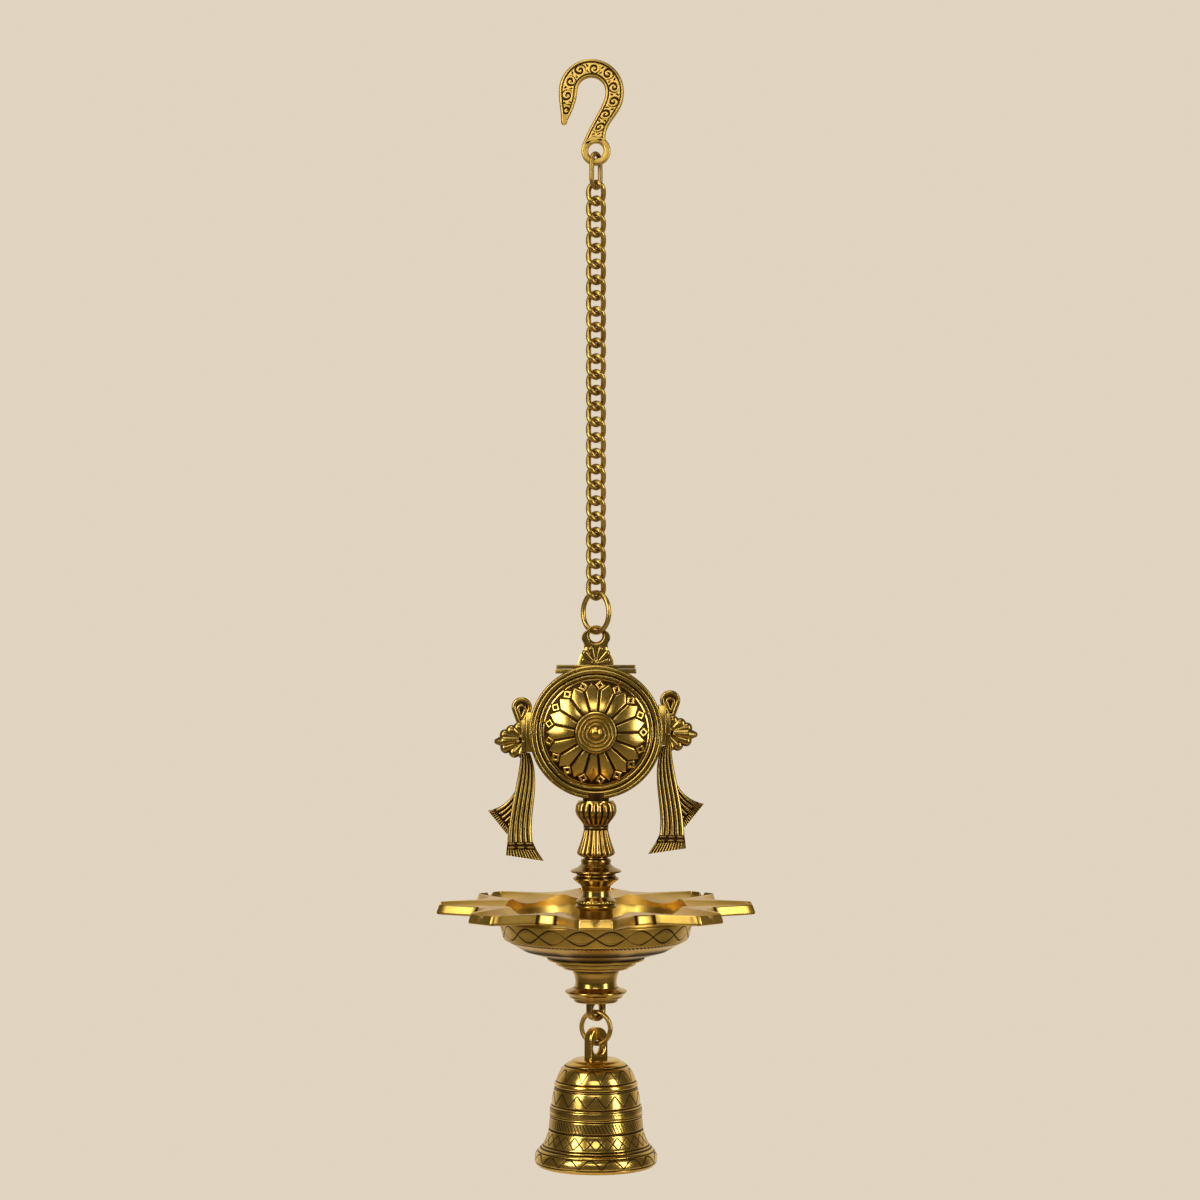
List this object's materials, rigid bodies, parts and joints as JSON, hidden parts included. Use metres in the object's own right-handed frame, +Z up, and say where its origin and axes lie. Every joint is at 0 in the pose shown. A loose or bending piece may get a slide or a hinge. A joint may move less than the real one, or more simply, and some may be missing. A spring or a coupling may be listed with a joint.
{
  "type": "hanging chain oil lamp",
  "caption": "Hanging brass oil lamp: flat scroll hook, twisted curb chain, lotus discus with ribboned sides, fluted stem, spouted oil pan and a small bell below",
  "frame": {"origin": "centre of the hook's throat, where the wall peg sits", "axes": "+Z up along the hanging chain, +Y along the peg into the wall, +X to the right seen from the front"},
  "size_m": [0.165, 0.165, 0.574],
  "materials": {
    "bright_brass": "polished, dark patina left in the recesses",
    "chain_brass": "worn, dull olive patina",
    "seal": "oil soaked"
  },
  "bodies": {
    "hook_body": {"hook": "bright_brass"},
    "hook_link_body": {"hook_link": "chain_brass"},
    "chain_link_01_body": {"chain_link_01": "chain_brass"},
    "chain_link_02_body": {"chain_link_02": "chain_brass"},
    "chain_link_03_body": {"chain_link_03": "chain_brass"},
    "chain_link_04_body": {"chain_link_04": "chain_brass"},
    "chain_link_05_body": {"chain_link_05": "chain_brass"},
    "chain_link_06_body": {"chain_link_06": "chain_brass"},
    "chain_link_07_body": {"chain_link_07": "chain_brass"},
    "chain_link_08_body": {"chain_link_08": "chain_brass"},
    "chain_link_09_body": {"chain_link_09": "chain_brass"},
    "chain_link_10_body": {"chain_link_10": "chain_brass"},
    "chain_link_11_body": {"chain_link_11": "chain_brass"},
    "chain_link_12_body": {"chain_link_12": "chain_brass"},
    "chain_link_13_body": {"chain_link_13": "chain_brass"},
    "chain_link_14_body": {"chain_link_14": "chain_brass"},
    "chain_link_15_body": {"chain_link_15": "chain_brass"},
    "chain_link_16_body": {"chain_link_16": "chain_brass"},
    "chain_link_17_body": {"chain_link_17": "chain_brass"},
    "chain_link_18_body": {"chain_link_18": "chain_brass"},
    "chain_link_19_body": {"chain_link_19": "chain_brass"},
    "chain_link_20_body": {"chain_link_20": "chain_brass"},
    "chain_link_21_body": {"chain_link_21": "chain_brass"},
    "chain_link_22_body": {"chain_link_22": "chain_brass"},
    "chain_link_23_body": {"chain_link_23": "chain_brass"},
    "chain_link_24_body": {"chain_link_24": "chain_brass"},
    "chain_link_25_body": {"chain_link_25": "chain_brass"},
    "chain_link_26_body": {"chain_link_26": "chain_brass"},
    "lamp_ring_body": {"lamp_ring": "chain_brass"},
    "lamp_body": {"eye_crown": "bright_brass", "disc_rim": "bright_brass", "disc_front": "bright_brass", "disc_back": "bright_brass", "hub_rivet": "bright_brass", "side_left": "bright_brass", "side_right": "bright_brass", "stem_flute": "bright_brass", "stem_base": "bright_brass", "stem_stud": "chain_brass", "pan": "bright_brass", "oil_washer": "seal", "foot": "bright_brass"},
    "bell_ring_body": {"bell_ring": "chain_brass"},
    "bell_body": {"bell": "bright_brass", "clapper_staple": "chain_brass"},
    "clapper_body": {"clapper": "chain_brass"}
  },
  "joints": [
    {"name": "hook_link_swing", "type": "hinge", "parent": "hook_body", "child": "hook_link_body", "pos_m": [0.0024, 0, -0.0307], "axis": [0, 1, 0], "range_deg": [-60, 60]},
    {"name": "chain_link_01_swing", "type": "hinge", "parent": "hook_link_body", "child": "chain_link_01_body", "pos_m": [0.0024, 0, -0.04686], "axis": [0.6691, -0.7431, 0], "range_deg": [-30, 30]},
    {"name": "chain_link_02_swing", "type": "hinge", "parent": "chain_link_01_body", "child": "chain_link_02_body", "pos_m": [0.0024, 0, -0.05811], "axis": [0.6691, 0.7431, 0], "range_deg": [-30, 30]},
    {"name": "chain_link_03_swing", "type": "hinge", "parent": "chain_link_02_body", "child": "chain_link_03_body", "pos_m": [0.0024, 0, -0.06326], "axis": [-0.6691, 0.7431, 0], "range_deg": [-30, 30]},
    {"name": "chain_link_04_swing", "type": "hinge", "parent": "chain_link_03_body", "child": "chain_link_04_body", "pos_m": [0.0024, 0, -0.07451], "axis": [-0.6691, -0.7431, 0], "range_deg": [-30, 30]},
    {"name": "chain_link_05_swing", "type": "hinge", "parent": "chain_link_04_body", "child": "chain_link_05_body", "pos_m": [0.0024, 0, -0.07966], "axis": [0.6691, -0.7431, 0], "range_deg": [-30, 30]},
    {"name": "chain_link_06_swing", "type": "hinge", "parent": "chain_link_05_body", "child": "chain_link_06_body", "pos_m": [0.0024, 0, -0.09091], "axis": [0.6691, 0.7431, 0], "range_deg": [-30, 30]},
    {"name": "chain_link_07_swing", "type": "hinge", "parent": "chain_link_06_body", "child": "chain_link_07_body", "pos_m": [0.0024, 0, -0.09606], "axis": [-0.6691, 0.7431, 0], "range_deg": [-30, 30]},
    {"name": "chain_link_08_swing", "type": "hinge", "parent": "chain_link_07_body", "child": "chain_link_08_body", "pos_m": [0.0024, 0, -0.10731], "axis": [-0.6691, -0.7431, 0], "range_deg": [-30, 30]},
    {"name": "chain_link_09_swing", "type": "hinge", "parent": "chain_link_08_body", "child": "chain_link_09_body", "pos_m": [0.0024, 0, -0.11246], "axis": [0.6691, -0.7431, 0], "range_deg": [-30, 30]},
    {"name": "chain_link_10_swing", "type": "hinge", "parent": "chain_link_09_body", "child": "chain_link_10_body", "pos_m": [0.0024, 0, -0.12371], "axis": [0.6691, 0.7431, 0], "range_deg": [-30, 30]},
    {"name": "chain_link_11_swing", "type": "hinge", "parent": "chain_link_10_body", "child": "chain_link_11_body", "pos_m": [0.0024, 0, -0.12886], "axis": [-0.6691, 0.7431, 0], "range_deg": [-30, 30]},
    {"name": "chain_link_12_swing", "type": "hinge", "parent": "chain_link_11_body", "child": "chain_link_12_body", "pos_m": [0.0024, 0, -0.14011], "axis": [-0.6691, -0.7431, 0], "range_deg": [-30, 30]},
    {"name": "chain_link_13_swing", "type": "hinge", "parent": "chain_link_12_body", "child": "chain_link_13_body", "pos_m": [0.0024, 0, -0.14526], "axis": [0.6691, -0.7431, 0], "range_deg": [-30, 30]},
    {"name": "chain_link_14_swing", "type": "hinge", "parent": "chain_link_13_body", "child": "chain_link_14_body", "pos_m": [0.0024, 0, -0.15651], "axis": [0.6691, 0.7431, 0], "range_deg": [-30, 30]},
    {"name": "chain_link_15_swing", "type": "hinge", "parent": "chain_link_14_body", "child": "chain_link_15_body", "pos_m": [0.0024, 0, -0.16166], "axis": [-0.6691, 0.7431, 0], "range_deg": [-30, 30]},
    {"name": "chain_link_16_swing", "type": "hinge", "parent": "chain_link_15_body", "child": "chain_link_16_body", "pos_m": [0.0024, 0, -0.17291], "axis": [-0.6691, -0.7431, 0], "range_deg": [-30, 30]},
    {"name": "chain_link_17_swing", "type": "hinge", "parent": "chain_link_16_body", "child": "chain_link_17_body", "pos_m": [0.0024, 0, -0.17806], "axis": [0.6691, -0.7431, 0], "range_deg": [-30, 30]},
    {"name": "chain_link_18_swing", "type": "hinge", "parent": "chain_link_17_body", "child": "chain_link_18_body", "pos_m": [0.0024, 0, -0.18931], "axis": [0.6691, 0.7431, 0], "range_deg": [-30, 30]},
    {"name": "chain_link_19_swing", "type": "hinge", "parent": "chain_link_18_body", "child": "chain_link_19_body", "pos_m": [0.0024, 0, -0.19446], "axis": [-0.6691, 0.7431, 0], "range_deg": [-30, 30]},
    {"name": "chain_link_20_swing", "type": "hinge", "parent": "chain_link_19_body", "child": "chain_link_20_body", "pos_m": [0.0024, 0, -0.20571], "axis": [-0.6691, -0.7431, 0], "range_deg": [-30, 30]},
    {"name": "chain_link_21_swing", "type": "hinge", "parent": "chain_link_20_body", "child": "chain_link_21_body", "pos_m": [0.0024, 0, -0.21086], "axis": [0.6691, -0.7431, 0], "range_deg": [-30, 30]},
    {"name": "chain_link_22_swing", "type": "hinge", "parent": "chain_link_21_body", "child": "chain_link_22_body", "pos_m": [0.0024, 0, -0.22211], "axis": [0.6691, 0.7431, 0], "range_deg": [-30, 30]},
    {"name": "chain_link_23_swing", "type": "hinge", "parent": "chain_link_22_body", "child": "chain_link_23_body", "pos_m": [0.0024, 0, -0.22726], "axis": [-0.6691, 0.7431, 0], "range_deg": [-30, 30]},
    {"name": "chain_link_24_swing", "type": "hinge", "parent": "chain_link_23_body", "child": "chain_link_24_body", "pos_m": [0.0024, 0, -0.23851], "axis": [-0.6691, -0.7431, 0], "range_deg": [-30, 30]},
    {"name": "chain_link_25_swing", "type": "hinge", "parent": "chain_link_24_body", "child": "chain_link_25_body", "pos_m": [0.0024, 0, -0.24366], "axis": [0.6691, -0.7431, 0], "range_deg": [-30, 30]},
    {"name": "chain_link_26_swing", "type": "hinge", "parent": "chain_link_25_body", "child": "chain_link_26_body", "pos_m": [0.0024, 0, -0.25491], "axis": [0.6691, 0.7431, 0], "range_deg": [-30, 30]},
    {"name": "lamp_ring_swing", "type": "hinge", "parent": "chain_link_26_body", "child": "lamp_ring_body", "pos_m": [0.0024, 0, -0.26311], "axis": [0.6691, 0.7431, 0], "range_deg": [-45, 45]},
    {"name": "lamp_swing", "type": "hinge", "parent": "lamp_ring_body", "child": "lamp_body", "pos_m": [0.0024, 0, -0.28081], "axis": [0.6428, -0.766, 0], "range_deg": [-40, 40]},
    {"name": "bell_ring_swing", "type": "hinge", "parent": "lamp_body", "child": "bell_ring_body", "pos_m": [0.0024, 0, -0.47811], "axis": [0.9063, -0.4226, 0], "range_deg": [-45, 45]},
    {"name": "bell_swing", "type": "hinge", "parent": "bell_ring_body", "child": "bell_body", "pos_m": [0.0024, 0, -0.49451], "axis": [-0.9063, 0.4226, 0], "range_deg": [-40, 40]},
    {"name": "clapper_swing", "type": "hinge", "parent": "bell_body", "child": "clapper_body", "pos_m": [0.0024, 0, -0.51471], "axis": [1, 0, 0], "range_deg": [-31, 31]}
  ]
}
